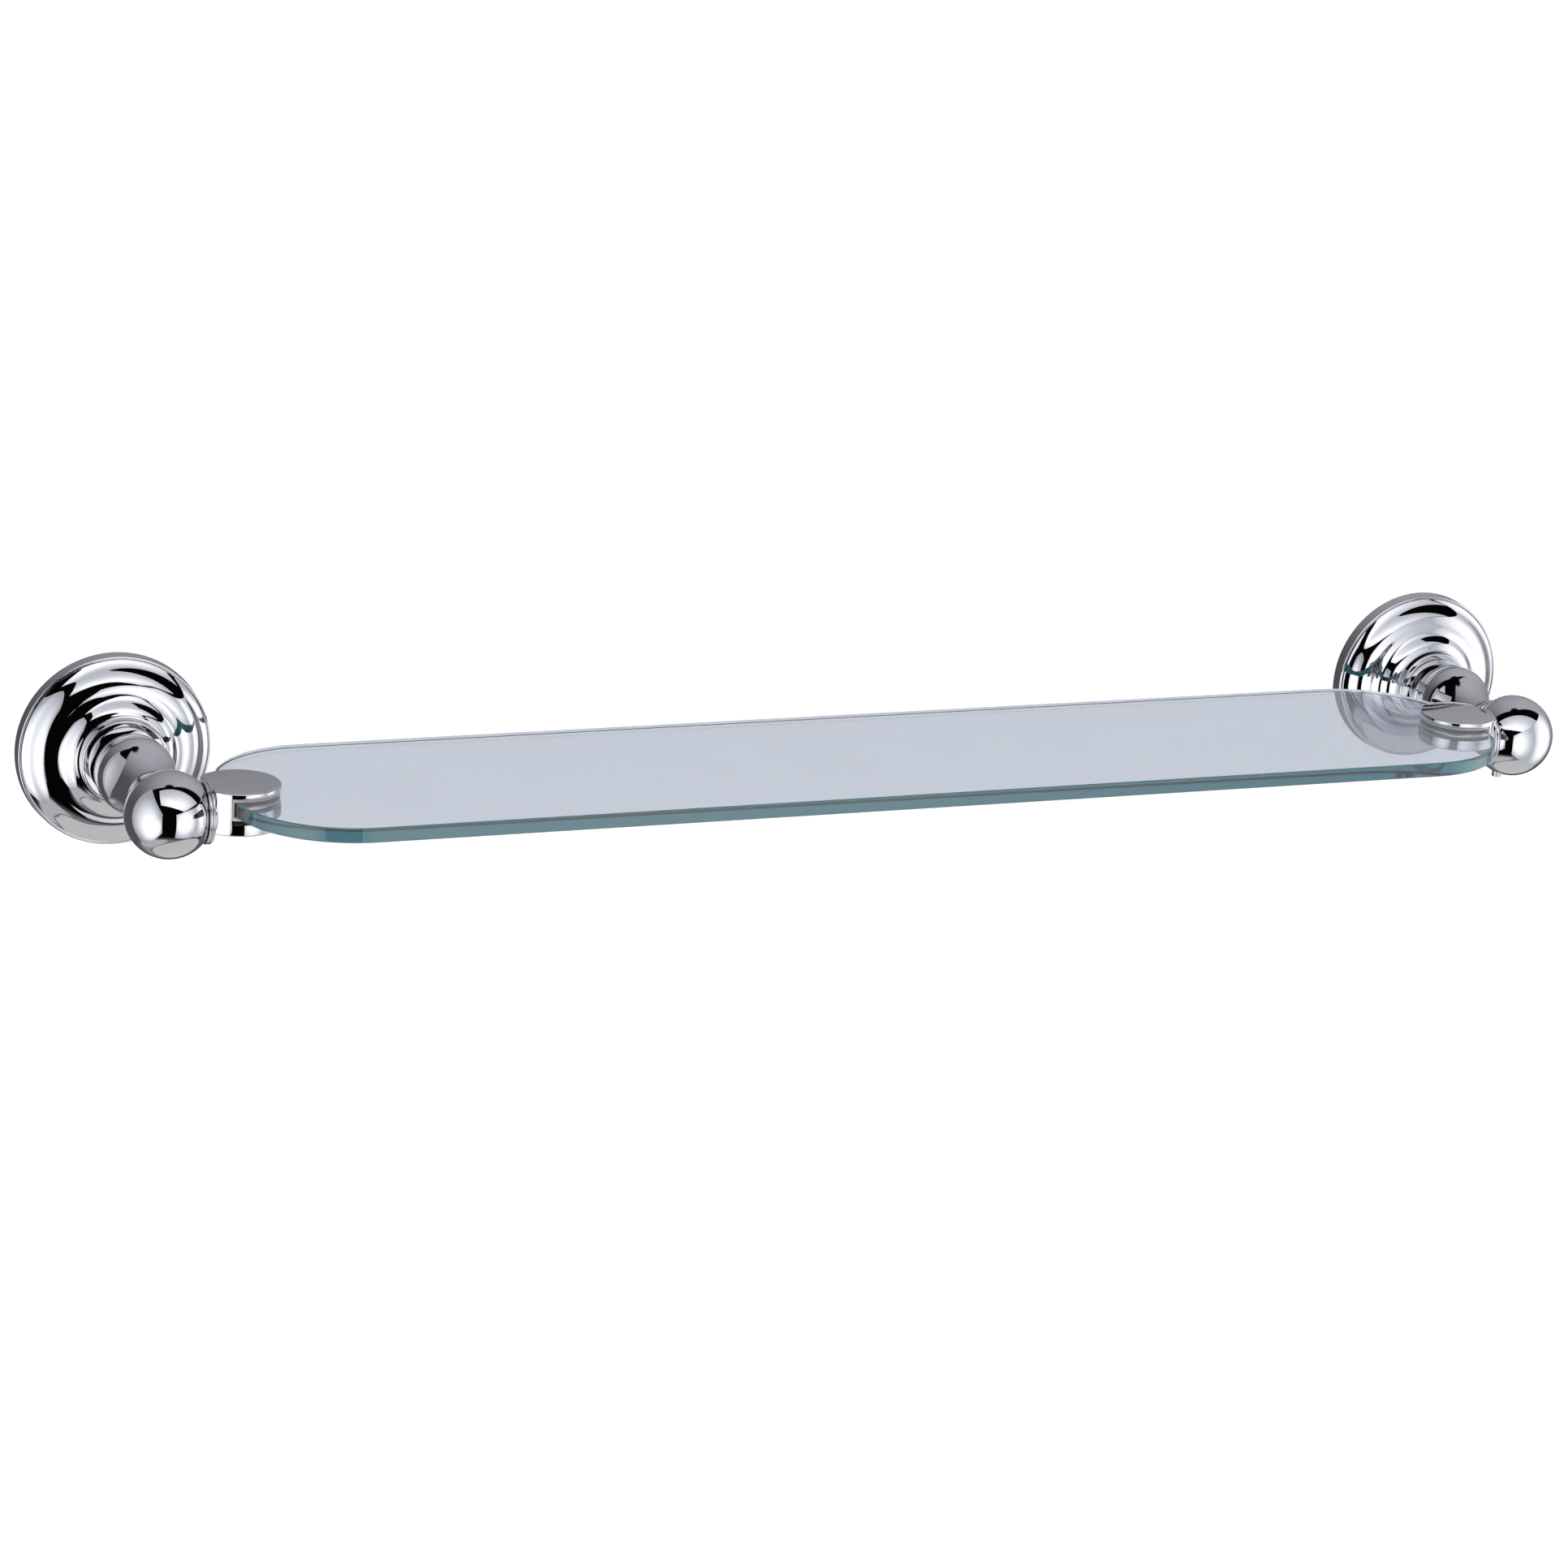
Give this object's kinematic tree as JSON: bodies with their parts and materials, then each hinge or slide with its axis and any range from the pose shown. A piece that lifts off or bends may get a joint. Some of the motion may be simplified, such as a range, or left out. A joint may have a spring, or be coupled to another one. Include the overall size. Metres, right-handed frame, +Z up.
{
  "type": "wall shelf",
  "caption": "Bathroom wall shelf: rounded glass plate gripped at each end by a tilting chrome clamp on a turned post and round wall rose.",
  "frame": {"origin": "on the wall plane, midway between the two brackets, at the height of their axes", "axes": "+X along the shelf towards the right bracket, +Y into the wall, -Y into the room, +Z up"},
  "size_m": [0.612, 0.131, 0.072],
  "materials": {
    "chrome": "polished chrome plate",
    "steel_screw": "bright zinc-plated steel",
    "zinc_plate": "turned, zinc plated",
    "brass_stud": "turned brass rod",
    "clear_plastic": "clear moulded plastic",
    "nylon": "natural nylon",
    "shelf_glass": "clear float glass, polished green edge"
  },
  "bodies": {
    "brackets": {"left_wall_plate": "zinc_plate", "left_rose": "chrome", "left_rose_grub_screw": "steel_screw", "left_post": "chrome", "left_post_screw": "steel_screw", "left_post_washer": "steel_screw", "left_ball": "chrome", "left_ball_stud": "brass_stud", "left_stem_grub_screw": "steel_screw", "right_wall_plate": "zinc_plate", "right_rose": "chrome", "right_rose_grub_screw": "steel_screw", "right_post": "chrome", "right_post_screw": "steel_screw", "right_post_washer": "steel_screw", "right_ball": "chrome", "right_ball_stud": "brass_stud", "right_stem_grub_screw": "steel_screw"},
    "left_clamp": {"left_holder": "chrome", "left_glass_sleeve": "clear_plastic", "left_pressure_pad": "nylon", "left_glass_grub_screw": "steel_screw"},
    "right_clamp": {"right_holder": "chrome", "right_glass_sleeve": "clear_plastic", "right_pressure_pad": "nylon", "right_glass_grub_screw": "steel_screw"},
    "glass": {"glass_shelf": "shelf_glass"}
  },
  "joints": [
    {"name": "shelf_tilt", "type": "hinge", "parent": "brackets", "child": "left_clamp", "pos_m": [-0.27, -0.081, 0], "axis": [1, 0, 0], "range_deg": [-8, 8]},
    {"name": "right_clamp_tilt", "type": "hinge", "parent": "brackets", "child": "right_clamp", "pos_m": [0.27, -0.081, 0], "axis": [1, 0, 0], "range_deg": [-8, 8]},
    {"name": "glass_slide", "type": "slide", "parent": "left_clamp", "child": "glass", "axis": [0, -1, 0], "range_m": [0, 0.12]}
  ],
  "couplings": [
    {"joint": "right_clamp_tilt", "follows": "shelf_tilt", "ratio": 1}
  ]
}
